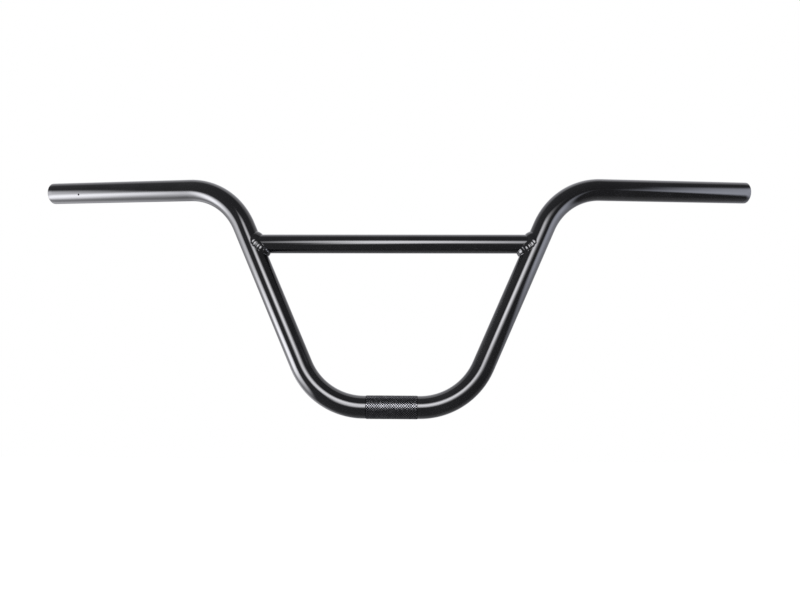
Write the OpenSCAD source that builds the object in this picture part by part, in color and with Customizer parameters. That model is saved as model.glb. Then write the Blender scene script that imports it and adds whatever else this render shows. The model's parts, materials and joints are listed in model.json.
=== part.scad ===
// Two-piece welded handlebar for a small-wheeled stunt bicycle.
// One steel tube is bent four times and knurled where the stem holds it.
// A thinner crossbar is coped and welded between its two risers.
// The origin is the centre of the stem clamp. X runs along the width, Z is up,
// and the front faces -Y, so the grips sweep back towards +Y.
// All sizes are in millimetres and all angles in degrees.

/* [Bar tube] */
// Outside diameter of the bar tube
bar_d = 22.2; // [21:0.1:25.4]
// Wall thickness of the bar tube
bar_wall = 1.3; // [1:0.1:2.5]
// Width over both grip ends
overall_w = 749.3; // [700:1:800]
// Height of the grip ends' centres above the clamp's centre
rise = 228.6; // [215:1:260]
// Length of the straight stretch between the two lower bends
centre_straight = 54; // [52:1:80]
// Angle between the clamp's axis and each riser
riser_angle = 66; // [62:1:70]
// Bending radius at the tube's centreline, the same for all four bends
bend_r = 68; // [50:1:75]
// Angle by which the grips point backwards
backsweep = 12; // [4:0.5:16]
// Angle by which the grips point upwards
upsweep = 2.5; // [0:0.5:6]
// How much the tube's radius draws in along a bend
bend_draw = 0.05; // [0.04:0.01:0.1]

/* [Knurl] */
// Length of the knurled band at the stem clamp
knurl_len = 50; // [40:1:51]
// Height of the knurl's crests over the plain tube
knurl_raise = 0.3; // [0.1:0.05:0.6]

/* [Tube ends] */
// Bevel round the outer edge of each grip end
end_bevel = 0.5; // [0.2:0.1:0.6]
// Bevel round the mouth of each grip end
mouth_bevel = 0.2; // [0.1:0.1:0.3]

/* [Drilled holes] */
// Diameter of the small hole in the left grip
drain_d = 2; // [1:0.1:4]
// Distance of that hole from the left end, along the grip
drain_from_end = 38.5; // [12:0.5:80]
// Angle by which that hole points below straight ahead
drain_down = 25; // [-30:1:60]
// Diameter of the vent in each riser's wall, hidden inside the crossbar
vent_d = 5; // [3:0.5:8]

/* [Crossbar] */
// Outside diameter of the crossbar
cross_d = 19.05; // [16:0.05:20]
// Wall thickness of the crossbar
cross_wall = 0.9; // [0.7:0.1:2]
// Height of the crossbar's axis above the clamp's centre
cross_z = 162.5; // [110:0.5:164]
// Gap between the coped ends and the risers, closed over by the welds
cope_gap = 0.1; // [0.05:0.05:0.3]

/* [Welds] */
// Leg of the weld fillet on both tubes
bead_leg = 2.6; // [2:0.1:3.5]
// Number of ripples round each weld
ripples = 40; // [32:1:48]

/* [Hidden] */
$fn = 96;

paint = [0.13, 0.13, 0.14];
bead_paint = [0.16, 0.16, 0.17];

bar_r = bar_d / 2;
bore_r = bar_r - bar_wall;
cross_r = cross_d / 2;
// How far a straight stretch runs over the start of the bend beside it, while it narrows
lap = 1.2;
// How far a cut runs past the face that it opens
past = 1;

// Directions of the right riser and the right grip
riser_dir = [cos(riser_angle), 0, sin(riser_angle)];
grip_dir = [cos(upsweep) * cos(backsweep), cos(upsweep) * sin(backsweep), sin(upsweep)];

// The upper bend: its angle, and how far its plane is turned from the lower bend's plane
upper_angle = acos(riser_dir * grip_dir);
lower_inward = [-sin(riser_angle), 0, cos(riser_angle)];
upper_turn = atan2(-grip_dir[1], grip_dir * lower_inward);

// From a bend's corner, where the straight axes meet, to the start of its arc
lower_setback = bend_r * tan(riser_angle / 2);
upper_setback = bend_r * tan(upper_angle / 2);

// The corners of the right half, as straight axes, reach the stated width and rise
end_x = overall_w / 2 - bar_r * norm([grip_dir[1], grip_dir[2]]);
lower_corner_x = centre_straight / 2 + lower_setback;
run_per_rise = cos(riser_angle) / sin(riser_angle);
grip_axis_len = (end_x - lower_corner_x - rise * run_per_rise)
    / (grip_dir[0] - grip_dir[2] * run_per_rise);
riser_axis_len = (rise - grip_axis_len * grip_dir[2]) / sin(riser_angle);

// The straight stretches that are left between the arcs
riser_len = riser_axis_len - lower_setback - upper_setback;
grip_len = grip_axis_len - upper_setback;

// Where the riser's axis crosses the crossbar's axis
joint_x = lower_corner_x + cross_z * run_per_rise;

// The direction of the drilled hole, square to the grip, as a turn about the grip's axis.
// The turn is counted from the inner side of the upper bend.
grip_inward = (cos(upper_angle) * grip_dir - riser_dir) / sin(upper_angle);
grip_side = cross(grip_dir, grip_inward);
level_front = [sin(backsweep), -cos(backsweep), 0];
level_down = cross(grip_dir, level_front);
drain_dir = cos(drain_down) * level_front + sin(drain_down) * level_down;
drain_turn = atan2(drain_dir * grip_side, drain_dir * grip_inward);

// Moves its children from a bend's start to its end. The tube arrives along Z and bends towards X.
module past_bend(angle) {
    translate([bend_r, 0, 0])
        rotate([0, angle, 0])
            translate([-bend_r, 0, 0])
                children();
}

// Places its children at the start of the right riser, with Z along the riser
module at_riser() {
    rotate([0, 90, 0])
        rotate([0, 0, 180])
            translate([0, 0, centre_straight / 2])
                past_bend(riser_angle)
                    children();
}

// Places its children at the start of the right grip, with Z along the grip
module at_grip() {
    at_riser()
        translate([0, 0, riser_len])
            rotate([0, 0, upper_turn])
                past_bend(upper_angle)
                    children();
}

// Places its children at the right grip's end
module at_end() {
    at_grip()
        translate([0, 0, grip_len])
            children();
}

// The children and their mirror image, for the right and the left half
module both_sides() {
    children();
    mirror([1, 0, 0])
        children();
}

// A bend of a round rod, starting at the origin along Z and curving towards X
module arc_rod(angle, r) {
    translate([bend_r, 0, 0])
        rotate([90, 0, 0])
            rotate([0, 0, 180 - angle])
                rotate_extrude(angle = angle)
                    translate([bend_r, 0])
                        circle(r);
}

// A straight rod along Z between two bends. Past each end it narrows a little, into the bend's rod.
module straight_rod(length, r) {
    tip_r = r - 2 * bend_draw;
    rotate_extrude()
        polygon([
            [0, -lap],
            [tip_r, -lap],
            [r, 0],
            [r, length],
            [tip_r, length + lap],
            [0, length + lap]
        ]);
}

// The last straight rod along Z, which leaves a bend and ends flat
module grip_rod(length, r) {
    rotate_extrude()
        polygon([
            [0, -lap],
            [r - 2 * bend_draw, -lap],
            [r, 0],
            [r, length],
            [0, length]
        ]);
}

// A rod of radius r along the whole bar, which runs past both grip ends by reach
module bar_rod(r, reach) {
    translate([-centre_straight / 2, 0, 0])
        rotate([0, 90, 0])
            straight_rod(centre_straight, r);
    both_sides() {
        rotate([0, 90, 0])
            rotate([0, 0, 180])
                translate([0, 0, centre_straight / 2])
                    arc_rod(riser_angle, r - bend_draw);
        at_riser() {
            straight_rod(riser_len, r);
            translate([0, 0, riser_len])
                rotate([0, 0, upper_turn])
                    arc_rod(upper_angle, r - bend_draw);
        }
        at_grip()
            grip_rod(grip_len + reach, r);
    }
}

// The raised band at the stem, with its crests' height as a plain cylinder and its ends bevelled.
// Its section starts inside the tube's wall.
module knurl_band() {
    core_r = bar_r - bar_wall / 2;
    foot_r = bar_r - knurl_raise;
    crest_r = bar_r + knurl_raise;
    foot = knurl_len / 2 + knurl_raise;
    crest = knurl_len / 2 - knurl_raise;
    rotate([0, 90, 0])
        rotate_extrude()
            polygon([
                [core_r, -foot],
                [foot_r, -foot],
                [crest_r, -crest],
                [crest_r, crest],
                [foot_r, foot],
                [core_r, foot]
            ]);
}

// What the bevel takes off the outer edge of a grip's end
module end_bevel_cut() {
    rotate_extrude()
        polygon([
            [bar_r - end_bevel - past, past],
            [bar_r + past, -end_bevel - past],
            [bar_r + past, past]
        ]);
}

// What the bevel takes off the mouth of a grip's end
module mouth_bevel_cut() {
    translate([0, 0, -mouth_bevel - past])
        cylinder(
            h = mouth_bevel + 2 * past,
            r1 = bore_r - past,
            r2 = bore_r + mouth_bevel + past
        );
}

// The small hole through the front wall of the left grip
module drain_cut() {
    mirror([1, 0, 0])
        at_end()
            translate([0, 0, -drain_from_end])
                rotate([0, 0, drain_turn])
                    rotate([0, 90, 0])
                        cylinder(h = bar_r + past, d = drain_d, $fn = 48);
}

// The vent through the right riser's inner wall, on the crossbar's axis
module vent_cut() {
    translate([joint_x, 0, cross_z])
        rotate([0, -90, 0])
            cylinder(h = bar_r / sin(riser_angle) + past, d = vent_d, $fn = 48);
}

module bar_tube() {
    color(paint)
        difference() {
            union() {
                bar_rod(bar_r, 0);
                knurl_band();
            }
            bar_rod(bore_r, past);
            both_sides() {
                at_end() {
                    end_bevel_cut();
                    mouth_bevel_cut();
                }
                vent_cut();
            }
            drain_cut();
        }
}

// The right riser as a solid rod, long enough to cope the crossbar and trim a weld
module riser_rod(r) {
    rod_len = 2 * (cross_d + bar_d);
    translate([joint_x, 0, cross_z])
        rotate([0, 90 - riser_angle, 0])
            translate([0, 0, -rod_len / 2])
                cylinder(h = rod_len, r = r);
}

// The crossbar's full length as a solid rod, before it is coped
module cross_rod(r, reach) {
    translate([-joint_x - reach, 0, cross_z])
        rotate([0, 90, 0])
            cylinder(h = 2 * (joint_x + reach), r = r);
}

module crossbar() {
    color(paint)
        difference() {
            cross_rod(cross_r, 0);
            cross_rod(cross_r - cross_wall, past);
            both_sides()
                riser_rod(bar_r + cope_gap);
        }
}

// The corner between riser and crossbar, at an angle round the crossbar
function seam_point(angle) =
    let (
        y = cross_r * cos(angle),
        up = cross_r * sin(angle),
        inward = sqrt(bar_r * bar_r - y * y)
    )
    [joint_x + (up * cos(riser_angle) - inward) / sin(riser_angle), y, cross_z + up];

// The right weld: a row of overlapping ripples along the corner, trimmed to the two tubes
module weld() {
    difference() {
        union() {
            for (i = [0 : ripples - 1])
                translate(seam_point(360 * i / ripples))
                    sphere(r = bead_leg, $fn = 32);
        }
        riser_rod(bar_r);
        cross_rod(cross_r, 0);
    }
}

module weld_right() {
    color(bead_paint)
        weld();
}

module weld_left() {
    color(bead_paint)
        mirror([1, 0, 0])
            weld();
}

bar_tube();
crossbar();
weld_left();
weld_right();
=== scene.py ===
"""A black stunt-bicycle handlebar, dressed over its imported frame.

The sizes come first, then the bar's centreline, the tools that shape a mesh, the paints,
the pieces, the welds, and the studio with its camera. Lengths are in metres and angles
in radians, unless a name ends in MM or DEG.
"""

import json
import math
import random

import bmesh
import bpy
import numpy as np
from mathutils import Matrix, Vector

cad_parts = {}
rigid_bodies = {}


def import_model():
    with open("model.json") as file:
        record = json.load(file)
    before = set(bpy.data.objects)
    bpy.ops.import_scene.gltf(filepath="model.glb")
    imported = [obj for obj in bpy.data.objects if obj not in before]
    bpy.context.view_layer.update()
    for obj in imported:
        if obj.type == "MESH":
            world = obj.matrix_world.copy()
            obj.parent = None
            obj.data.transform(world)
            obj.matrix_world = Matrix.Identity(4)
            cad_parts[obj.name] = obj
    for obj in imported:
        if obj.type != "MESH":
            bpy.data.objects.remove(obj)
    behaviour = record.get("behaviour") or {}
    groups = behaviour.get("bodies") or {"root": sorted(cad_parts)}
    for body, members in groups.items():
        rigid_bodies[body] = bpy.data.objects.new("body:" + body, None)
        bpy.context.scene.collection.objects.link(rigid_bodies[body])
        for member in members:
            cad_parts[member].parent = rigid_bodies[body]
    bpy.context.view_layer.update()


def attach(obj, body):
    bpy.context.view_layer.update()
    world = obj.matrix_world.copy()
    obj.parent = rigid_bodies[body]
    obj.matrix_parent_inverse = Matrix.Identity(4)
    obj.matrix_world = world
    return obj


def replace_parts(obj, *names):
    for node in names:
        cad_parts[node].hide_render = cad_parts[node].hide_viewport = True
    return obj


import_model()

MM = 0.001

# The bar tube: its radius and wall, and its centreline's straights and bends
BAR_R = 11.1 * MM
BAR_WALL = 1.3 * MM
BAR_MID_R = BAR_R - 0.5 * BAR_WALL
CENTRE_HALF = 27.0 * MM
BEND_R = 68.0 * MM
RISER_ANGLE = math.radians(66.0)
RISER_LEN = 153.5895 * MM
GRIP_LEN = 165.5929 * MM
BACKSWEEP = math.radians(12.0)
UPSWEEP = math.radians(2.5)

# The rounding of the grips' outer edges and mouths
END_ROUND = 0.75 * MM
MOUTH_ROUND = 0.2 * MM
ROUND_STEPS = 4

# The crossbar
CROSS_R = 9.525 * MM
CROSS_WALL = 0.9 * MM
CROSS_MID_R = CROSS_R - 0.5 * CROSS_WALL
CROSS_Z = 162.5 * MM
JOINT_X = 143.509 * MM
COPE_GAP = 0.1 * MM

# The knurled band at the stem clamp
KNURL_HALF = 25.0 * MM
KNURL_ROOT_R = 11.0 * MM
KNURL_AROUND = 30
KNURL_ALONG = 21
CREST_LIFT = 0.40 * MM
CREST_INSET = 0.37 * MM
BAND_DEPTH = 0.6 * MM

# The tube under that band: its rings from the middle out, and the radius of those that are sunk
CENTRE_RINGS_MM = (8.3, 16.4, 24.6, 25.0, 27.0)
SUNK_HALF = KNURL_HALF - 0.2 * MM
SUNK_R = BAR_R - 0.4 * MM

# The holes
DRAIN_D = 2.0 * MM
DRAIN_FROM_END = 38.5 * MM
DRAIN_DOWN = math.radians(25.0)
VENT_D = 5.0 * MM

# How finely the tubes are drawn. The crossbar's rings lie closer over its last stretch.
TUBE_SIDES = 96
CROSS_SIDES = 80
DRILL_SIDES = 32
RING_STEP = 6.0 * MM
BEND_STEPS = 26
CROSS_RINGS = 20
CROSS_LAST = 16 * MM
CROSS_LAST_RINGS = 8

# How far from the joint's centre the rods reach that cope the crossbar and shape the welds
RISER_ROD_MM = 32
CROSS_ROD = 24 * MM

# How far a cutter runs past the face that it opens
PAST = 1.0 * MM

# Points closer than these count as one
TOUCH = 0.01 * MM
MERGE = 0.002 * MM
MIRROR_MERGE = 0.005 * MM


# The bar's centreline, right half

def unit(x, y, z):
    return Vector((x, y, z)).normalized()


RISER_DIR = unit(math.cos(RISER_ANGLE), 0, math.sin(RISER_ANGLE))
GRIP_DIR = Vector((
    math.cos(UPSWEEP) * math.cos(BACKSWEEP),
    math.cos(UPSWEEP) * math.sin(BACKSWEEP),
    math.sin(UPSWEEP),
))
UPPER_ANGLE = RISER_DIR.angle(GRIP_DIR)
FRONT = Vector((0, -1, 0))
LOWER_IN = Vector((0, 0, 1))
RISER_IN = FRONT.cross(RISER_DIR)
UPPER_AXIS = RISER_DIR.cross(GRIP_DIR).normalized()
UPPER_IN = UPPER_AXIS.cross(RISER_DIR)
GRIP_IN = UPPER_AXIS.cross(GRIP_DIR)

BEND_START = Vector((CENTRE_HALF, 0, 0))
LOWER_CENTRE = BEND_START + BEND_R * LOWER_IN
RISER_START = LOWER_CENTRE - BEND_R * RISER_IN
RISER_END = RISER_START + RISER_LEN * RISER_DIR
UPPER_CENTRE = RISER_END + BEND_R * UPPER_IN
GRIP_START = UPPER_CENTRE - BEND_R * GRIP_IN
GRIP_END = GRIP_START + GRIP_LEN * GRIP_DIR

LOWER_ARC = BEND_R * RISER_ANGLE
UPPER_ARC = BEND_R * UPPER_ANGLE


def straightened(point):
    """Where a point of the bar would be if the tube were straight: along it, and off its axis."""
    side = -1.0 if point.x < 0 else 1.0
    p = Vector((abs(point.x), point.y, point.z))
    if p.x <= CENTRE_HALF:
        return Vector((point.x, p.y, p.z))
    from_riser = p - RISER_START
    if from_riser.dot(RISER_DIR) < 0:
        spoke = p - LOWER_CENTRE
        angle = math.atan2(spoke.x, -spoke.z)
        along = CENTRE_HALF + BEND_R * angle
        return Vector((side * along, p.y, BEND_R - math.hypot(spoke.x, spoke.z)))
    along = CENTRE_HALF + LOWER_ARC
    reach = from_riser.dot(RISER_DIR)
    if reach <= RISER_LEN:
        return Vector((side * (along + reach), p.y, from_riser.dot(RISER_IN)))
    along += RISER_LEN
    from_grip = p - GRIP_START
    reach = from_grip.dot(GRIP_DIR)
    if reach < 0:
        spoke = p - UPPER_CENTRE
        angle = math.atan2(spoke.dot(RISER_DIR), -spoke.dot(UPPER_IN))
        along += BEND_R * angle
        inward = BEND_R - math.hypot(spoke.dot(RISER_DIR), spoke.dot(UPPER_IN))
        across = spoke.dot(UPPER_AXIS)
    else:
        along += UPPER_ARC + reach
        inward = from_grip.dot(GRIP_IN)
        across = from_grip.dot(UPPER_AXIS)
    offset = inward * UPPER_IN + across * UPPER_AXIS
    return Vector((side * along, offset.y, offset.dot(RISER_IN)))


# Tools for shaping a mesh

def deselect():
    bpy.ops.object.select_all(action="DESELECT")


def activate(obj):
    """Makes obj the only selected object, and the active one."""
    deselect()
    obj.select_set(True)
    bpy.context.view_layer.objects.active = obj


def settle(obj):
    """Puts the object at the origin, unturned and unscaled, with its place in its mesh."""
    activate(obj)
    bpy.ops.object.transform_apply(location=True, rotation=True, scale=True)


def edit(kind="EDGE"):
    bpy.ops.object.mode_set(mode="EDIT")
    bpy.ops.mesh.select_mode(type=kind)


def done():
    bpy.ops.object.mode_set(mode="OBJECT")


def pick(kind, test):
    """In edit mode, selects just the vertices, edges or faces that pass the test."""
    bpy.ops.mesh.select_mode(type=kind)
    bpy.ops.mesh.select_all(action="DESELECT")
    mesh = bpy.context.object.data
    shape = bmesh.from_edit_mesh(mesh)
    for part in {"VERT": shape.verts, "EDGE": shape.edges, "FACE": shape.faces}[kind]:
        if test(part):
            part.select_set(True)
    shape.select_flush_mode()
    bmesh.update_edit_mesh(mesh)


def extrude(step):
    bpy.ops.mesh.extrude_region_move(TRANSFORM_OT_translate={"value": step})


def extrude_run(direction, length, count):
    for _ in range(count):
        extrude(direction * (length / count))


def resize_about(centre, factors):
    bpy.ops.transform.resize(value=factors, center_override=centre)


def open_ring(name, radius, sides, x=0.0):
    """An open circle round the X axis, in edit mode with all of it selected."""
    deselect()
    bpy.ops.mesh.primitive_circle_add(
        vertices=sides,
        radius=radius,
        fill_type="NOTHING",
        location=(x, 0, 0),
        rotation=(0, math.pi / 2, 0),
    )
    ring = bpy.context.object
    ring.name = name
    ring.data.name = name
    settle(ring)
    edit()
    bpy.ops.mesh.select_all(action="SELECT")
    return ring


def apply_modifier(obj, kind, **settings):
    activate(obj)
    modifier = obj.modifiers.new(kind.lower(), kind)
    for name, value in settings.items():
        setattr(modifier, name, value)
    bpy.ops.object.modifier_apply(modifier=modifier.name)


def face_outwards(obj):
    activate(obj)
    edit()
    bpy.ops.mesh.select_all(action="SELECT")
    bpy.ops.mesh.remove_doubles(threshold=MERGE)
    bpy.ops.mesh.normals_make_consistent(inside=False)
    done()


def cut(obj, *cutters):
    """Takes the cutters off the object and removes them."""
    for cutter in cutters:
        apply_modifier(obj, "BOOLEAN", operation="DIFFERENCE", solver="MANIFOLD", object=cutter)
        bpy.data.objects.remove(cutter, do_unlink=True)


def rod(start, end, radius, sides):
    """A closed cylinder between two points."""
    axis = end - start
    deselect()
    bpy.ops.mesh.primitive_cylinder_add(
        vertices=sides,
        radius=radius,
        depth=axis.length,
        location=(start + end) / 2,
        rotation=axis.to_track_quat("Z", "Y").to_euler(),
    )
    piece = bpy.context.object
    settle(piece)
    return piece


def mirrored(vector, side):
    return Vector((side * vector.x, vector.y, vector.z))


def smooth(obj, degrees=30.0):
    activate(obj)
    bpy.ops.object.shade_smooth_by_angle(angle=math.radians(degrees))


def store_lay(mesh, places):
    """Stores where each vertex lies in the paint's pattern."""
    lay = mesh.attributes.new("lay", "FLOAT_VECTOR", "POINT")
    lay.data.foreach_set("vector", places)


def lay_bent(obj):
    """The bar's pattern follows its centreline: it is laid out on the straightened tube."""
    places = [straightened(v.co) for v in obj.data.vertices]
    store_lay(obj.data, np.array(places, np.float32).ravel())
    return places


def lay_straight(obj):
    """The pattern of a piece that lies straight along X has the piece's own coordinates."""
    places = np.zeros(len(obj.data.vertices) * 3, np.float32)
    obj.data.vertices.foreach_get("co", places)
    store_lay(obj.data, places)


def mark_faces(obj, radii, test):
    """Gives the second material to faces whose corners' distances from the axis pass a test."""
    for face in obj.data.polygons:
        face.material_index = 1 if test([radii[v] for v in face.vertices]) else 0


def dress(obj, slot, *materials):
    """Gives the finished piece its materials, and joins it to the frame.

    Clearing the slots that a Boolean left empty also forgets each face's slot, so these are kept.
    """
    faces = obj.data.polygons
    slots = [face.material_index for face in faces]
    obj.data.materials.clear()
    for material in materials:
        obj.data.materials.append(material)
    faces.foreach_set("material_index", slots)
    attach(obj, "root")


# Paints. A range gives where a mask starts and where it is full.

PAINT_BLACK = (0.0040, 0.0040, 0.0048)
PAINT_FILM = (0.0095, 0.0095, 0.0105)
DUST = (0.07, 0.068, 0.065)
PAINT_IOR = 1.55

# The sprayed skin: its height, the scales of its peel, and how the drawing lines are stretched
SKIN_DEPTH = 0.003 * MM
WELD_SKIN_DEPTH = 0.01 * MM
TUBE_PEEL = 420.0
KNURL_PEEL = 800.0
WELD_PEEL = 1100.0
LINE_STRETCH = (7.0, 620.0, 620.0)

# What handling leaves: a film in patches, and specks where a second pattern lets them be
PATCH_SCALE = 28.0
PATCH_RANGE = (0.42, 0.75)
SPECK_SCALE = 260.0
SPECK_RANGE = (0.07, 0.03)
SPECK_PLACES_SCALE = 90.0
SPECK_PLACES_RANGE = (0.58, 0.66)
FILM_ROUGHNESS = 0.06
SPECK_ROUGHNESS = 0.4

# The knurl's worn crests
CREST_DARK = (0.145, 0.147, 0.155)
CREST_BARE = (0.215, 0.215, 0.222)
WEAR_SCALE = 260.0
WEAR_RANGE = (0.35, 0.65)

# The steel inside the tubes
STEEL_DULL = (0.035, 0.036, 0.038)
STEEL_RUST = (0.085, 0.052, 0.034)
BLOOM_SCALE = 120.0
BLOOM_RANGE = (0.52, 0.74)
GRAIN_SCALE = 900.0
GRAIN_DEPTH = 0.05 * MM


def make_group(name, inputs, outputs):
    """A node group whose inputs are given with their kinds, and whose outputs are floats."""
    group = bpy.data.node_groups.new(name, "ShaderNodeTree")
    for label, kind in inputs.items():
        group.interface.new_socket(label, in_out="INPUT", socket_type="NodeSocket" + kind)
    for label in outputs:
        group.interface.new_socket(label, in_out="OUTPUT", socket_type="NodeSocketFloat")
    return group, group.nodes.new("NodeGroupInput"), group.nodes.new("NodeGroupOutput")


def add_node(tree, kind, inputs=None, **settings):
    """A node with its settings, and its inputs as values or as sockets to link."""
    made = tree.nodes.new(kind)
    for name, value in settings.items():
        setattr(made, name, value)
    for name, value in (inputs or {}).items():
        if isinstance(value, bpy.types.NodeSocket):
            tree.links.new(value, made.inputs[name])
        else:
            made.inputs[name].default_value = value
    return made


def maths(tree, operation, first, second=0.0):
    made = add_node(tree, "ShaderNodeMath", {0: first, 1: second}, operation=operation)
    return made.outputs[0]


def noise(tree, vector, scale, detail, roughness=0.5):
    made = add_node(
        tree,
        "ShaderNodeTexNoise",
        {"Vector": vector, "Scale": scale, "Detail": detail, "Roughness": roughness},
    )
    return made.outputs["Fac"]


def ramp(tree, value, low, high):
    """0 below low, 1 above high, and smooth between."""
    made = add_node(
        tree,
        "ShaderNodeMapRange",
        {"Value": value, "From Min": low, "From Max": high},
        interpolation_type="SMOOTHSTEP",
    )
    return made.outputs["Result"]


def build_paint_skin():
    """The height of a sprayed skin: soft orange peel over the tube's lengthwise drawing lines."""
    group, start, end = make_group(
        "paint_skin",
        {"Vector": "Vector", "Peel Scale": "Float", "Lines": "Float"},
        ["Height"],
    )
    peel = noise(group, start.outputs["Vector"], start.outputs["Peel Scale"], detail=1.0)
    stretched = add_node(
        group,
        "ShaderNodeMapping",
        {"Vector": start.outputs["Vector"], "Scale": LINE_STRETCH},
    )
    lines = noise(group, stretched.outputs[0], 1.0, detail=2.0)
    weighted = maths(group, "MULTIPLY", lines, start.outputs["Lines"])
    group.links.new(maths(group, "ADD", peel, weighted), end.inputs["Height"])
    return group


def build_handling():
    """Masks of what handling leaves on gloss paint: thin dust in patches, and fine specks."""
    group, start, end = make_group(
        "handling",
        {"Vector": "Vector", "Amount": "Float"},
        ["Film", "Specks"],
    )
    vector, amount = start.outputs["Vector"], start.outputs["Amount"]
    patches = noise(group, vector, PATCH_SCALE, detail=4.0, roughness=0.6)
    film = maths(group, "MULTIPLY", ramp(group, patches, *PATCH_RANGE), amount)
    cells = add_node(group, "ShaderNodeTexVoronoi", {"Vector": vector, "Scale": SPECK_SCALE})
    dots = ramp(group, cells.outputs["Distance"], *SPECK_RANGE)
    places = noise(group, vector, SPECK_PLACES_SCALE, detail=1.0)
    chosen = maths(group, "MULTIPLY", dots, ramp(group, places, *SPECK_PLACES_RANGE))
    specks = maths(group, "MULTIPLY", chosen, amount)
    group.links.new(film, end.inputs["Film"])
    group.links.new(specks, end.inputs["Specks"])
    return group


def new_material(name, **sockets):
    material = bpy.data.materials.new(name)
    material.use_nodes = True
    tree = material.node_tree
    shader = tree.nodes["Principled BSDF"]
    for label, value in sockets.items():
        shader.inputs[label.replace("_", " ")].default_value = value
    return material, tree, shader


def use_group(tree, group, **inputs):
    made = tree.nodes.new("ShaderNodeGroup")
    made.node_tree = group
    for label, value in inputs.items():
        socket = made.inputs[label.replace("_", " ")]
        if isinstance(value, bpy.types.NodeSocket):
            tree.links.new(value, socket)
        else:
            socket.default_value = value
    return made


def blend_colours(tree, mask, first, second):
    made = add_node(tree, "ShaderNodeMix", data_type="RGBA")
    tree.links.new(mask, made.inputs["Factor"])
    for socket, value in ((made.inputs[6], first), (made.inputs[7], second)):
        if isinstance(value, bpy.types.NodeSocket):
            tree.links.new(value, socket)
        else:
            socket.default_value = (*value, 1.0)
    return made.outputs[2]


def add_bump(tree, shader, height, depth):
    bump = add_node(
        tree,
        "ShaderNodeBump",
        {"Height": height, "Distance": depth, "Strength": 1.0},
    )
    tree.links.new(bump.outputs["Normal"], shader.inputs["Normal"])


def black_paint(name, skin, handling, vector_of, peel, lines, depth, rough, dust, sheen=0.5):
    """Black paint over the given pattern coordinates, with its skin, film and specks."""
    material, tree, shader = new_material(name, IOR=PAINT_IOR, Specular_IOR_Level=sheen)
    vector = vector_of(tree)
    marks = use_group(tree, handling, Vector=vector, Amount=dust)
    filmed = blend_colours(tree, marks.outputs["Film"], PAINT_BLACK, PAINT_FILM)
    colour = blend_colours(tree, marks.outputs["Specks"], filmed, DUST)
    tree.links.new(colour, shader.inputs["Base Color"])
    film_rough = maths(tree, "MULTIPLY", marks.outputs["Film"], FILM_ROUGHNESS)
    speck_rough = maths(tree, "MULTIPLY", marks.outputs["Specks"], SPECK_ROUGHNESS)
    rough_sum = maths(tree, "ADD", maths(tree, "ADD", film_rough, speck_rough), rough)
    tree.links.new(rough_sum, shader.inputs["Roughness"])
    height = use_group(tree, skin, Vector=vector, Peel_Scale=peel, Lines=lines)
    add_bump(tree, shader, height.outputs["Height"], depth)
    return material


def laid_vector(tree):
    return add_node(tree, "ShaderNodeAttribute", attribute_name="lay").outputs["Vector"]


def object_vector(tree):
    return tree.nodes.new("ShaderNodeTexCoord").outputs["Object"]


def worn_crests(skin):
    """The knurl's crests: clamped and handled until the paint is thin and satin over dark metal."""
    material, tree, shader = new_material("worn_crests", Metallic=1.0, Roughness=0.32)
    vector = laid_vector(tree)
    wear = ramp(tree, noise(tree, vector, WEAR_SCALE, detail=3.0), *WEAR_RANGE)
    colour = blend_colours(tree, wear, CREST_DARK, CREST_BARE)
    tree.links.new(colour, shader.inputs["Base Color"])
    height = use_group(tree, skin, Vector=vector, Peel_Scale=KNURL_PEEL, Lines=0.0)
    add_bump(tree, shader, height.outputs["Height"], SKIN_DEPTH)
    return material


def bore_steel():
    """The inside of the tubes: dull primed steel with thin rust bloom."""
    material, tree, shader = new_material("bore_steel", Roughness=0.62)
    vector = object_vector(tree)
    patches = noise(tree, vector, BLOOM_SCALE, detail=5.0, roughness=0.65)
    colour = blend_colours(tree, ramp(tree, patches, *BLOOM_RANGE), STEEL_DULL, STEEL_RUST)
    tree.links.new(colour, shader.inputs["Base Color"])
    add_bump(tree, shader, noise(tree, vector, GRAIN_SCALE, detail=3.0), GRAIN_DEPTH)
    return material


# The pieces

def build_bar(paint, steel):
    """The bar tube: one circle drawn along the straights and bends, mirrored and given its wall."""
    bar = open_ring("bar", BAR_R, TUBE_SIDES)
    right = Vector((1, 0, 0))
    for reach in CENTRE_RINGS_MM:
        grown = reach * MM - max(v.co.x for v in bmesh.from_edit_mesh(bar.data).verts)
        extrude(right * grown)
    spin(RISER_ANGLE, LOWER_CENTRE, FRONT)
    extrude_run(RISER_DIR, RISER_LEN, round(RISER_LEN / RING_STEP))
    spin(UPPER_ANGLE, UPPER_CENTRE, UPPER_AXIS)
    extrude_run(GRIP_DIR, GRIP_LEN, round(GRIP_LEN / RING_STEP))
    done()
    apply_modifier(bar, "MIRROR", use_mirror_merge=True, merge_threshold=MIRROR_MERGE)
    face_outwards(bar)
    apply_modifier(bar, "SOLIDIFY", thickness=BAR_WALL, offset=-1.0, use_even_offset=True)
    round_tube_ends(bar)
    sink_under_knurl(bar)
    cut(bar, drain_drill(), vent_drill(1), vent_drill(-1))
    radii = [math.hypot(place.y, place.z) for place in lay_bent(bar)]
    mark_faces(bar, radii, lambda corners: max(corners) < BAR_MID_R)
    smooth(bar)
    dress(bar, "gloss_black_paint", paint, steel)
    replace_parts(bar, "bar_tube")


def spin(angle, centre, axis):
    """Draws the selected ring round a bend. The operator counts its angle the other way round."""
    bpy.ops.mesh.spin(steps=BEND_STEPS, angle=-angle, center=centre, axis=axis)


def off_axis(point):
    """Distance of a point from the bar's centreline."""
    place = straightened(point)
    return math.hypot(place.y, place.z)


def at_tube_end(vertex):
    from_end = Vector((abs(vertex.co.x), vertex.co.y, vertex.co.z)) - GRIP_END
    return from_end.dot(GRIP_DIR) > -TOUCH


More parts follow.
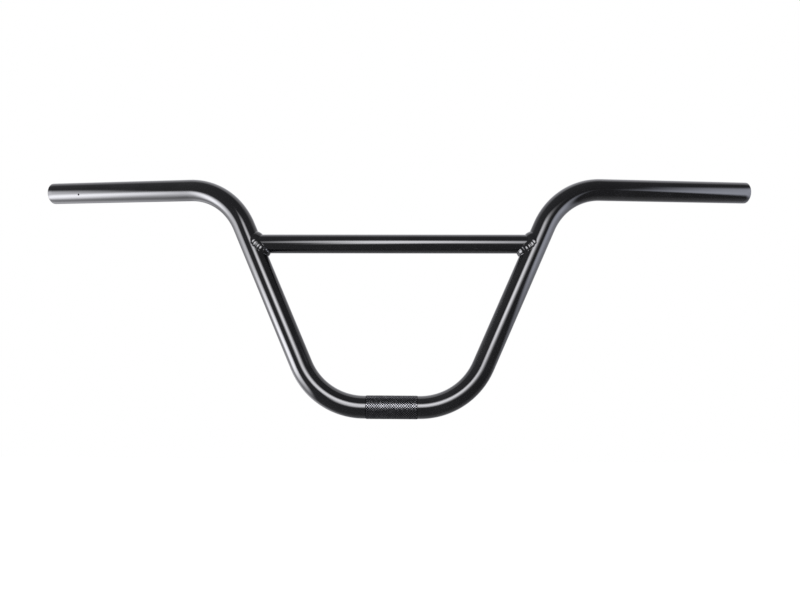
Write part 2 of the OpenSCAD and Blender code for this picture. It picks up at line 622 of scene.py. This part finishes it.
def round_tube_ends(bar):
    """Rounds the outer edge and the mouth of both grips."""
    activate(bar)
    edit()
    for inside, offset in ((False, END_ROUND), (True, MOUTH_ROUND)):
        pick(
            "EDGE",
            lambda e: all(
                at_tube_end(v) and (off_axis(v.co) < BAR_MID_R) == inside for v in e.verts
            ),
        )
        bpy.ops.mesh.bevel(
            offset=offset, offset_type="OFFSET", segments=ROUND_STEPS, affect="EDGES"
        )
    done()


def sink_under_knurl(bar):
    """Draws the tube's outside in under the knurled band, which stands on it."""
    activate(bar)
    edit("VERT")
    pick(
        "VERT",
        lambda v: abs(v.co.x) < SUNK_HALF and math.hypot(v.co.y, v.co.z) > BAR_MID_R,
    )
    factor = SUNK_R / BAR_R
    resize_about((0, 0, 0), (1, factor, factor))
    done()


def drain_drill():
    """A drill through the front of the left grip, square to it and pointing a little down."""
    level_front = Vector((math.sin(BACKSWEEP), -math.cos(BACKSWEEP), 0))
    level_down = GRIP_DIR.cross(level_front)
    aim = math.cos(DRAIN_DOWN) * level_front + math.sin(DRAIN_DOWN) * level_down
    middle = GRIP_END - DRAIN_FROM_END * GRIP_DIR
    start, end = (mirrored(middle + aim * reach, -1) for reach in (0.0, BAR_R + PAST))
    return rod(start, end, DRAIN_D / 2, DRILL_SIDES)


def vent_drill(side):
    """A drill through a riser's inner wall, on the crossbar's axis."""
    middle = Vector((JOINT_X, 0, CROSS_Z))
    inner = middle - Vector((BAR_R / math.sin(RISER_ANGLE) + PAST, 0, 0))
    return rod(mirrored(middle, side), mirrored(inner, side), VENT_D / 2, DRILL_SIDES)


def build_knurl(paint, worn):
    """The knurled band: crossed grooves round the tube, with a blunt diamond in each mesh."""
    band = open_ring("clamp_knurl", KNURL_ROOT_R, KNURL_AROUND, x=-KNURL_HALF)
    extrude_run(Vector((1, 0, 0)), 2 * KNURL_HALF, KNURL_ALONG)
    bpy.ops.mesh.select_all(action="SELECT")
    bpy.ops.mesh.normals_make_consistent(inside=False)
    sag = KNURL_ROOT_R * (1 - math.cos(math.pi / KNURL_AROUND))
    bpy.ops.mesh.poke(offset=sag, use_relative_offset=False, center_mode="MEDIAN")
    pick("EDGE", lambda e: not e.is_boundary and not is_groove(e))
    bpy.ops.mesh.dissolve_edges(use_verts=False)
    bpy.ops.mesh.select_all(action="SELECT")
    bpy.ops.mesh.inset(use_individual=True, thickness=CREST_INSET, depth=CREST_LIFT)
    done()
    close_band(band)
    lay_straight(band)
    radii = [math.hypot(v.co.y, v.co.z) for v in band.data.vertices]
    half_up = KNURL_ROOT_R + 0.5 * CREST_LIFT
    mark_faces(band, radii, lambda corners: min(corners) > half_up)
    smooth(band, degrees=12.0)
    # Faces below the crests take the knurl paint, which reflects no light: dull dirty paint, and
    # painted shade in the grooves.
    dress(band, "gloss_black_paint", paint, worn)


def is_groove(edge):
    """Whether an edge of the poked net runs aslant, so both along the band and round it."""
    a, b = (v.co for v in edge.verts)
    turn = abs(math.atan2(a.y, a.z) - math.atan2(b.y, b.z))
    turn = min(turn, 2 * math.pi - turn)
    least_turn = 0.1 * 2 * math.pi / KNURL_AROUND
    least_run = 0.1 * 2 * KNURL_HALF / KNURL_ALONG
    return abs(a.x - b.x) > least_run and turn > least_turn


def close_band(band):
    """Turns both ends of the band in, and joins them by a hidden inner wall."""
    activate(band)
    edit()
    inner = (KNURL_ROOT_R - BAND_DEPTH) / KNURL_ROOT_R
    pick("EDGE", lambda e: e.is_boundary)
    bpy.ops.mesh.extrude_region_move()
    resize_about((0, 0, 0), (1, inner, inner))
    bpy.ops.mesh.bridge_edge_loops()
    bpy.ops.mesh.select_all(action="SELECT")
    bpy.ops.mesh.normals_make_consistent(inside=False)
    done()


def build_crossbar(paint, steel):
    """The crossbar: a straight tube with both ends coped to the risers."""
    cross = open_ring("cross_tube", CROSS_R, CROSS_SIDES)
    bpy.ops.transform.translate(value=(0, 0, CROSS_Z))
    bpy.ops.mesh.select_all(action="SELECT")
    right = Vector((1, 0, 0))
    extrude_run(right, JOINT_X - CROSS_LAST, CROSS_RINGS)
    extrude_run(right, CROSS_LAST, CROSS_LAST_RINGS)
    done()
    apply_modifier(cross, "MIRROR", use_mirror_merge=True, merge_threshold=MIRROR_MERGE)
    face_outwards(cross)
    apply_modifier(cross, "SOLIDIFY", thickness=CROSS_WALL, offset=-1.0, use_even_offset=True)
    cut(cross, riser_rod(1, BAR_R + COPE_GAP), riser_rod(-1, BAR_R + COPE_GAP))
    lay_straight(cross)
    radii = [math.hypot(v.co.y, v.co.z - CROSS_Z) for v in cross.data.vertices]
    mark_faces(cross, radii, lambda corners: max(corners) < CROSS_MID_R)
    smooth(cross)
    dress(cross, "gloss_black_paint", paint, steel)
    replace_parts(cross, "crossbar")


def riser_rod(side, radius):
    """A riser as a solid rod round the crossbar's joint."""
    middle = mirrored(Vector((JOINT_X, 0, CROSS_Z)), side)
    half = mirrored(RISER_DIR, side) * RISER_ROD_MM * MM
    return rod(middle - half, middle + half, radius, TUBE_SIDES)


# The welds: their ripples, and how much each of these strays, sways and differs in size
RIPPLES = 24
RIPPLE_HALF = 4.4 * MM
RIPPLE_LEAN = math.radians(9.0)
RIPPLE_STRAY = 0.12
RIPPLE_SWAY_DEG = 3.0
RIPPLE_SIZES = (0.96, 1.05)
WELD_LEG = 3.5 * MM
WELD_CROWN = 0.34 * MM

# Around the joint the ripples and the tubes, a little thinner, are smoothed as one. The weld is
# what is left of that within its reach, down to its sunk back.
WELD_VOXEL = 0.2 * MM
WELD_LAST_VOXEL = 0.22 * MM
WELD_SMOOTHING = 18
TUBE_SHY = 0.06 * MM
WELD_REACH = 1.45
WELD_SINK = 0.35 * MM

# The step, as an angle round the crossbar, that shows which way the seam runs
SEAM_STEP = 0.01


def seam_point(angle):
    """The corner between the right riser and the crossbar, at an angle round the crossbar."""
    y = CROSS_R * math.cos(angle)
    up = CROSS_R * math.sin(angle)
    inward = math.sqrt(BAR_R * BAR_R - y * y)
    x = JOINT_X + (up * math.cos(RISER_ANGLE) - inward) / math.sin(RISER_ANGLE)
    return Vector((x, y, CROSS_Z + up))


def seam_frame(angle):
    """A point of the seam, three axes there, and half the angle of its corner.

    The axes run across the bead, along the seam and out of the corner.
    """
    point = seam_point(angle)
    from_cross = Vector((0, point.y, point.z - CROSS_Z)).normalized()
    spoke = point - Vector((JOINT_X, 0, CROSS_Z))
    from_riser = (spoke - RISER_DIR * spoke.dot(RISER_DIR)).normalized()
    out = (from_cross + from_riser).normalized()
    along = (seam_point(angle + SEAM_STEP) - seam_point(angle - SEAM_STEP)).normalized()
    return point, out.cross(along).normalized(), along, out, math.asin(out.dot(from_cross))


def build_weld(name, side, paint, seed):
    """A weld: leaning ripples laid along the seam, run into both tubes as paint fills a corner."""
    bead = ripple_ring(side, seed, 1.0)
    bead.name = name
    bead.data.name = name
    for tube in (riser_rod(side, BAR_R - TUBE_SHY), cross_rod(side, CROSS_R - TUBE_SHY)):
        join(bead, tube)
    apply_modifier(bead, "REMESH", mode="VOXEL", voxel_size=WELD_VOXEL)
    apply_modifier(bead, "SMOOTH", factor=0.5, iterations=WELD_SMOOTHING)
    zone = ripple_ring(side, seed, WELD_REACH)
    apply_modifier(zone, "REMESH", mode="VOXEL", voxel_size=2 * WELD_VOXEL)
    apply_modifier(bead, "BOOLEAN", operation="INTERSECT", solver="MANIFOLD", object=zone)
    bpy.data.objects.remove(zone, do_unlink=True)
    cut(bead, riser_rod(side, BAR_R - WELD_SINK), cross_rod(side, CROSS_R - WELD_SINK))
    apply_modifier(bead, "REMESH", mode="VOXEL", voxel_size=WELD_LAST_VOXEL)
    drop_crumbs(bead)
    lay_straight(bead)
    smooth(bead, degrees=40.0)
    dress(bead, "painted_weld", paint)
    return bead


def drop_crumbs(bead):
    """Keeps the bead alone, without the crumbs that the cutting left beside it."""
    activate(bead)
    edit("VERT")
    front = min(v.co.y for v in bead.data.vertices)
    pick("VERT", lambda v: v.co.y == front)
    bpy.ops.mesh.select_linked()
    bpy.ops.mesh.select_all(action="INVERT")
    bpy.ops.mesh.delete(type="VERT")
    done()


def ripple_ring(side, seed, size):
    """A weld's ripples as one object: a ball is copied along the seam and the copies joined."""
    chance = random.Random(seed)
    deselect()
    bpy.ops.mesh.primitive_uv_sphere_add(segments=28, ring_count=18, radius=1.0)
    ring = bpy.context.object
    ripples = [ring]
    for _ in range(RIPPLES - 1):
        copy = ring.copy()
        copy.data = ring.data.copy()
        bpy.context.scene.collection.objects.link(copy)
        ripples.append(copy)
    for index, ripple in enumerate(ripples):
        angle = 2 * math.pi * (index + chance.uniform(-RIPPLE_STRAY, RIPPLE_STRAY)) / RIPPLES
        lean = RIPPLE_LEAN + math.radians(chance.uniform(-RIPPLE_SWAY_DEG, RIPPLE_SWAY_DEG))
        ripple_size = size * chance.uniform(*RIPPLE_SIZES)
        ripple.matrix_world = ripple_place(angle, side, lean, ripple_size)
    join(*ripples)
    settle(ring)
    face_outwards(ring)
    return ring


def join(first, *others):
    """Adds the other objects' meshes to the first one."""
    deselect()
    for obj in (first, *others):
        obj.select_set(True)
    bpy.context.view_layer.objects.active = first
    bpy.ops.object.join()


def cross_rod(side, radius):
    """The crossbar as a solid rod round its joint with a riser."""
    middle = mirrored(Vector((JOINT_X, 0, CROSS_Z)), side)
    half = Vector((CROSS_ROD, 0, 0))
    return rod(middle - half, middle + half, radius, CROSS_SIDES)


def ripple_place(angle, side, lean, size):
    """Where a ripple lies: its disc across the seam, leaning back over the one before it.

    Its section is the ellipse that leaves each tube one weld leg from the corner.
    """
    point, across, along, out, half = seam_frame(angle)
    rise = WELD_LEG * math.cos(half)
    throat = rise + WELD_CROWN
    reach = WELD_LEG * math.sin(half) / math.sqrt(1 - (rise / throat) ** 2)
    axes = Matrix((across, along, out)).transposed()
    tip = Matrix.Rotation(lean, 3, across)
    scale = Matrix.Diagonal((reach * size, RIPPLE_HALF, throat * size))
    place = (tip @ axes @ scale).to_4x4()
    place.translation = point
    return Matrix.Diagonal((side, 1, 1, 1)) @ place


# The studio, with the camera's place, turns and lens
CAMERA_AT = Vector((27.199, -715.195, -7.141)) * MM
CAMERA_YAW = math.radians(-1.59469)
CAMERA_PITCH = math.radians(8.94935)
CAMERA_ROLL = math.radians(0.416603)
FOCAL_PX = 729.0894
FRAME_PX = 800
SENSOR_MM = 36.0

# What the lamps and softboxes face
AIM = Vector((0, 0, 0.12))

# The floor glows more from near to far, where the lamps light it less
FLOOR_Z = -0.42
FLOOR_SIZE = 12.0
FLOOR_GREY = (0.8, 0.8, 0.8, 1)
FLOOR_GLOW = 0.25
FLOOR_FAR_GLOW = 0.43
FLOOR_FAR_RANGE = (0.3, 1.3)

# The studio as the paint reflects it: dim in front, white behind, and darker out to the sides
STUDIO_DIM = 0.235
STUDIO_SIDES = -0.41
SWEEP_LEVEL = 0.84
SWEEP_SIDES = -0.8
SWEEP_RISE = 0.6
SWEEP_FROM = -0.13
SWEEP_TO = 0.27
GLOSS_TINT = (0.985, 0.985, 1.04)

# The even light round the studio for the rays that neither the camera nor the gloss sends
AMBIENT = 0.55

# How far a softbox's edge fades, in its blurs
SOFTEN = 2.5


def place_camera():
    turn = (
        Matrix.Rotation(-CAMERA_YAW, 3, "Z")
        @ Matrix.Rotation(math.pi / 2 + CAMERA_PITCH, 3, "X")
        @ Matrix.Rotation(CAMERA_ROLL, 3, "Z")
    )
    bpy.ops.object.camera_add(location=CAMERA_AT, rotation=turn.to_euler())
    camera = bpy.context.object
    camera.data.sensor_fit = "HORIZONTAL"
    camera.data.sensor_width = SENSOR_MM
    camera.data.lens = FOCAL_PX * SENSOR_MM / FRAME_PX
    camera.data.clip_start = 0.01
    bpy.context.scene.camera = camera


def seen_rays(tree):
    """Two masks: 1 for camera rays, and 1 for rays that come by gloss or glass."""
    path = tree.nodes.new("ShaderNodeLightPath")
    by_gloss = maths(
        tree, "MAXIMUM", path.outputs["Is Glossy Ray"], path.outputs["Is Transmission Ray"]
    )
    return path.outputs["Is Camera Ray"], by_gloss


def blank_material(name):
    material = bpy.data.materials.new(name)
    material.use_nodes = True
    material.node_tree.nodes.clear()
    return material, material.node_tree


def white_floor():
    """Pale matte floor that keeps its shadows, and glows just enough to be seen as white."""
    material, tree = blank_material("white_floor")
    seen = maths(tree, "MAXIMUM", *seen_rays(tree))
    away = add_node(tree, "ShaderNodeVectorMath", {0: object_vector(tree)}, operation="LENGTH")
    farness = ramp(tree, away.outputs["Value"], *FLOOR_FAR_RANGE)
    far = maths(tree, "MULTIPLY", farness, FLOOR_FAR_GLOW)
    glow_level = maths(tree, "MULTIPLY", seen, maths(tree, "ADD", far, FLOOR_GLOW))
    matte = add_node(tree, "ShaderNodeBsdfDiffuse", {"Color": FLOOR_GREY})
    glow = add_node(tree, "ShaderNodeEmission", {"Strength": glow_level})
    both = add_node(tree, "ShaderNodeAddShader", {0: matte.outputs[0], 1: glow.outputs[0]})
    add_node(tree, "ShaderNodeOutputMaterial", {"Surface": both.outputs[0]})
    return material


def stage_plane(name, low, high, material):
    """A flat stage plane, facing up, between two corners given as (x, y) in its own frame."""
    deselect()
    centre = [(a + b) / 2 for a, b in zip(low, high)]
    bpy.ops.mesh.primitive_plane_add(size=1, location=(*centre, 0))
    plane = bpy.context.object
    plane.name = name
    plane.scale = (high[0] - low[0], high[1] - low[1], 1)
    settle(plane)
    plane.data.materials.append(material)
    return plane


def build_stage():
    """The floor. The gloss shows the world in its place, so that the bar's underside stays dark."""
    half = FLOOR_SIZE / 2
    floor = stage_plane("floor", (-half, -half), (half, half), white_floor())
    floor.location = (0, 0, FLOOR_Z)
    floor.visible_glossy = False


def light_world():
    """White to the camera. By gloss it is white behind the bar and a dim studio in front.

    All other rays meet an even ambient light.
    """
    world = bpy.data.worlds.new("studio")
    bpy.context.scene.world = world
    world.use_nodes = True
    tree = world.node_tree
    tree.nodes.clear()
    camera, gloss = seen_rays(tree)
    ways = add_node(
        tree,
        "ShaderNodeSeparateXYZ",
        {"Vector": tree.nodes.new("ShaderNodeTexCoord").outputs["Generated"]},
    )
    aside, ahead = ways.outputs["X"], ways.outputs["Y"]
    front = maths(tree, "EXPONENT", maths(tree, "MULTIPLY", aside, STUDIO_SIDES))
    square = maths(tree, "MULTIPLY", aside, aside)
    back = maths(tree, "EXPONENT", maths(tree, "MULTIPLY", square, SWEEP_SIDES))
    rise = maths(tree, "EXPONENT", maths(tree, "MULTIPLY", ways.outputs["Z"], SWEEP_RISE))
    behind = maths(tree, "MULTIPLY", ramp(tree, ahead, SWEEP_FROM, SWEEP_TO), rise)
    in_front = ramp(tree, ahead, SWEEP_TO, SWEEP_FROM)
    seen_front = maths(tree, "MULTIPLY", in_front, maths(tree, "MULTIPLY", front, STUDIO_DIM))
    seen_back = maths(tree, "MULTIPLY", behind, maths(tree, "MULTIPLY", back, SWEEP_LEVEL))
    by_gloss = maths(tree, "MULTIPLY", gloss, maths(tree, "ADD", seen_front, seen_back))
    others = maths(tree, "SUBTRACT", 1.0, maths(tree, "MAXIMUM", camera, gloss))
    ambient = maths(tree, "MULTIPLY", others, AMBIENT)
    level = maths(tree, "ADD", camera, maths(tree, "ADD", by_gloss, ambient))
    tint = blend_colours(tree, gloss, (1.0, 1.0, 1.0), GLOSS_TINT)
    glow = add_node(tree, "ShaderNodeBackground", {"Color": tint, "Strength": level})
    add_node(tree, "ShaderNodeOutputWorld", {"Surface": glow.outputs[0]})


def soft_lamp(name, at, size, power):
    """A square soft lamp that lights the bar and the floor, and doesn't show in the gloss."""
    aim = (AIM - Vector(at)).to_track_quat("-Z", "Y").to_euler()
    bpy.ops.object.light_add(type="AREA", location=at, rotation=aim)
    lamp = bpy.context.object
    lamp.name = name
    lamp.data.size = size
    lamp.data.energy = power
    lamp.visible_camera = False
    lamp.visible_glossy = False


def edge_fade(tree, distance, low, high):
    """1 between a softbox's two edges, fading to 0 past each. An edge is (place, blur)."""
    rise = ramp(tree, distance, low[0] - SOFTEN * low[1], low[0] + SOFTEN * low[1])
    fall = ramp(tree, distance, high[0] + SOFTEN * high[1], high[0] - SOFTEN * high[1])
    return maths(tree, "MULTIPLY", rise, fall)


def softbox_cloth(name, left, right, bottom, top, level, slant, tint):
    """A softbox's glowing cloth: brighter towards one side, and faded out at its edges."""
    material, tree = blank_material(name)
    place = add_node(tree, "ShaderNodeSeparateXYZ", {"Vector": object_vector(tree)})
    across, up = place.outputs["X"], place.outputs["Y"]
    fade = maths(
        tree, "MULTIPLY", edge_fade(tree, across, left, right), edge_fade(tree, up, bottom, top)
    )
    lean = maths(
        tree,
        "ADD",
        maths(tree, "MULTIPLY", across, slant[0]),
        maths(tree, "MULTIPLY", up, slant[1]),
    )
    slope = maths(tree, "MULTIPLY", maths(tree, "EXPONENT", lean), level)
    strength = maths(tree, "MULTIPLY", fade, slope)
    glow = add_node(tree, "ShaderNodeEmission", {"Color": (*tint, 1), "Strength": strength})
    clear = tree.nodes.new("ShaderNodeBsdfTransparent")
    both = add_node(tree, "ShaderNodeAddShader", {0: glow.outputs[0], 1: clear.outputs[0]})
    add_node(tree, "ShaderNodeOutputMaterial", {"Surface": both.outputs[0]})
    return material


def softbox(name, at, left, right, bottom, top, level, slant, turn_deg, tint):
    """A softbox that shows in the paint's gloss and nowhere else: a plane that faces the bar."""
    cloth = softbox_cloth(name, left, right, bottom, top, level, slant, tint)
    low = [edge[0] - SOFTEN * edge[1] for edge in (left, bottom)]
    high = [edge[0] + SOFTEN * edge[1] for edge in (right, top)]
    box = stage_plane(name, low, high, cloth)
    ahead = (AIM - Vector(at)).normalized()
    right_way = ahead.cross(Vector((0, 0, 1))).normalized()
    axes = Matrix((right_way, right_way.cross(ahead), -ahead)).transposed()
    facing = (axes @ Matrix.Rotation(math.radians(turn_deg), 3, "Z")).to_4x4()
    box.matrix_world = Matrix.Translation(at) @ facing
    box.visible_camera = False
    box.visible_diffuse = False
    box.visible_shadow = False


def light_scene():
    softbox(
        "key_box", (0.200, -1.446, 0.326),
        left=(-0.280, 0.211), right=(0.075, 0.249), bottom=(-0.271, 0.128), top=(0.329, 0.136),
        level=19.9, slant=(-1.77, 0.46), turn_deg=-21.1, tint=(0.99, 0.985, 1.03),
    )
    softbox(
        "low_box", (-0.194, -1.474, -0.010),
        left=(-0.060, 0.018), right=(0.147, 0.057), bottom=(-0.174, 0.080), top=(0.255, 0.022),
        level=6.1, slant=(0.13, 0.59), turn_deg=-25.7, tint=(0.99, 0.985, 1.03),
    )
    softbox(
        "left_box", (-0.789, 0.076, -0.241),
        left=(0.020, 0.061), right=(0.495, 0.201), bottom=(-0.008, 0.068), top=(0.256, 0.055),
        level=9.7, slant=(1.12, -0.60), turn_deg=-4.4, tint=(0.985, 0.985, 1.04),
    )
    softbox(
        "left_fill", (-0.749, 0.097, -0.046),
        left=(-0.200, 0.296), right=(0.430, 0.140), bottom=(-0.483, 0.039), top=(0.340, 0.065),
        level=4.4, slant=(2.95, 0.24), turn_deg=7.6, tint=(0.985, 0.985, 1.04),
    )
    softbox(
        "back_fill", (-0.744, 0.622, -0.451),
        left=(-0.322, 0.050), right=(0.221, 0.062), bottom=(-0.468, 0.058), top=(0.355, 0.048),
        level=1.1, slant=(-0.35, 0.97), turn_deg=-5.0, tint=(0.985, 0.985, 1.04),
    )
    softbox(
        "right_box", (0.678, 0.028, 0.111),
        left=(-0.335, 0.116), right=(0.243, 0.393), bottom=(-0.168, 0.025), top=(0.255, 0.051),
        level=3.5, slant=(-3.11, -0.47), turn_deg=-14.9, tint=(0.92, 0.955, 1.11),
    )
    soft_lamp("front_lamp", (-0.5, -1.8, 1.3), size=1.2, power=26)
    soft_lamp("top_lamp", (0.2, 0.1, 2.0), size=1.6, power=26)


def mix_paints():
    """The materials of the bar, by name."""
    skin = build_paint_skin()
    handling = build_handling()
    return {
        "tube": black_paint(
            "tube_paint", skin, handling, laid_vector,
            peel=TUBE_PEEL, lines=0.5, depth=SKIN_DEPTH, rough=0.05, dust=0.6,
        ),
        # The knurl's grooves and slopes: rough paint with no specular reflection, so they stay
        # dark. This is partly dull, dirt-filled paint and partly painted shade in the recesses.
        "knurl": black_paint(
            "knurl_paint", skin, handling, laid_vector,
            peel=KNURL_PEEL, lines=0.0, depth=SKIN_DEPTH, rough=0.7, dust=1.0, sheen=0.0,
        ),
        "crests": worn_crests(skin),
        "weld": black_paint(
            "weld_paint", skin, handling, object_vector,
            peel=WELD_PEEL, lines=0.0, depth=WELD_SKIN_DEPTH, rough=0.06, dust=1.0,
        ),
        "steel": bore_steel(),
    }


def main():
    place_camera()
    paints = mix_paints()
    build_bar(paints["tube"], paints["steel"])
    build_knurl(paints["knurl"], paints["crests"])
    build_crossbar(paints["tube"], paints["steel"])
    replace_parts(build_weld("weld_bead_right", 1, paints["weld"], 7), "weld_right")
    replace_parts(build_weld("weld_bead_left", -1, paints["weld"], 19), "weld_left")
    build_stage()
    light_world()
    light_scene()
    bpy.context.scene.view_settings.view_transform = "Standard"


main()
